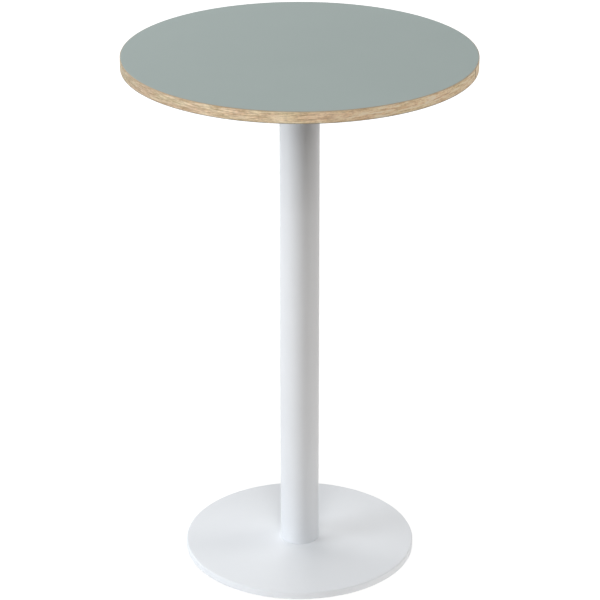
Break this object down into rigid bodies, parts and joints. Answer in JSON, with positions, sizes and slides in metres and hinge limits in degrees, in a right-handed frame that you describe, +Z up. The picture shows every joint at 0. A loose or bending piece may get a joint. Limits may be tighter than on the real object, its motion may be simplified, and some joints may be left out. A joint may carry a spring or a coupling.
{
  "type": "standing meeting table",
  "caption": "Tall round meeting table: a thin laminate top with an oak edge on a white round column and a flat disc base with levelling glides underneath.",
  "frame": {"origin": "on the floor, on the column's axis, with the levelling glides screwed fully in", "axes": "+Z up along the column; -Y towards the viewer of the picture, +X to the viewer's right"},
  "size_m": [0.7, 0.7, 1.09],
  "materials": {
    "laminate": "matte grey-green high-pressure laminate",
    "core_board": "raw birch board",
    "oak": "matte lacquered oak",
    "backing": "matte grey balancing laminate",
    "brass": "turned",
    "white_coat": "fine satin powder coat",
    "bare_steel": "turned, uncoated",
    "zinc": "zinc plated",
    "nylon": "moulded nylon"
  },
  "bodies": {
    "table": {"top_laminate": "laminate", "top_board": "core_board", "oak_lipping": "oak", "top_backing": "backing", "top_insert_1": "brass", "top_insert_2": "brass", "top_insert_3": "brass", "top_insert_4": "brass", "top_insert_5": "brass", "top_insert_6": "brass", "top_insert_7": "brass", "top_insert_8": "brass", "mounting_plate": "white_coat", "column_tube": "white_coat", "head_plug": "bare_steel", "base_plug": "bare_steel", "head_screw_1": "zinc", "head_screw_2": "zinc", "head_screw_3": "zinc", "head_screw_4": "zinc", "top_screw_1": "zinc", "top_screw_2": "zinc", "top_screw_3": "zinc", "top_screw_4": "zinc", "top_screw_5": "zinc", "top_screw_6": "zinc", "top_screw_7": "zinc", "top_screw_8": "zinc", "base_plate": "white_coat", "base_screw_1": "zinc", "base_screw_2": "zinc", "base_screw_3": "zinc", "base_screw_4": "zinc"},
    "glide_1_stud": {"glide_stud_1": "zinc"},
    "glide_1_pad": {"glide_pad_1": "nylon"},
    "glide_2_stud": {"glide_stud_2": "zinc"},
    "glide_2_pad": {"glide_pad_2": "nylon"},
    "glide_3_stud": {"glide_stud_3": "zinc"},
    "glide_3_pad": {"glide_pad_3": "nylon"},
    "glide_4_stud": {"glide_stud_4": "zinc"},
    "glide_4_pad": {"glide_pad_4": "nylon"}
  },
  "joints": [
    {"name": "glide_1_travel", "type": "slide", "parent": "table", "child": "glide_1_stud", "axis": [0, 0, -1], "range_m": [0, 0.00501]},
    {"name": "glide_1_turn", "type": "hinge", "parent": "glide_1_stud", "child": "glide_1_pad", "pos_m": [0.14849, 0.14849, 0], "axis": [0, 0, -1], "range_deg": [0, 1440]},
    {"name": "glide_2_travel", "type": "slide", "parent": "table", "child": "glide_2_stud", "axis": [0, 0, -1], "range_m": [0, 0.00501]},
    {"name": "glide_2_turn", "type": "hinge", "parent": "glide_2_stud", "child": "glide_2_pad", "pos_m": [-0.14849, 0.14849, 0], "axis": [0, 0, -1], "range_deg": [0, 1440]},
    {"name": "glide_3_travel", "type": "slide", "parent": "table", "child": "glide_3_stud", "axis": [0, 0, -1], "range_m": [0, 0.00501]},
    {"name": "glide_3_turn", "type": "hinge", "parent": "glide_3_stud", "child": "glide_3_pad", "pos_m": [-0.14849, -0.14849, 0], "axis": [0, 0, -1], "range_deg": [0, 1440]},
    {"name": "glide_4_travel", "type": "slide", "parent": "table", "child": "glide_4_stud", "axis": [0, 0, -1], "range_m": [0, 0.00501]},
    {"name": "glide_4_turn", "type": "hinge", "parent": "glide_4_stud", "child": "glide_4_pad", "pos_m": [0.14849, -0.14849, 0], "axis": [0, 0, -1], "range_deg": [0, 1440]}
  ],
  "couplings": [
    {"joint": "glide_1_travel", "follows": "glide_1_turn", "m_per_rad": 0.00019894},
    {"joint": "glide_2_travel", "follows": "glide_2_turn", "m_per_rad": 0.00019894},
    {"joint": "glide_3_travel", "follows": "glide_3_turn", "m_per_rad": 0.00019894},
    {"joint": "glide_4_travel", "follows": "glide_4_turn", "m_per_rad": 0.00019894}
  ]
}
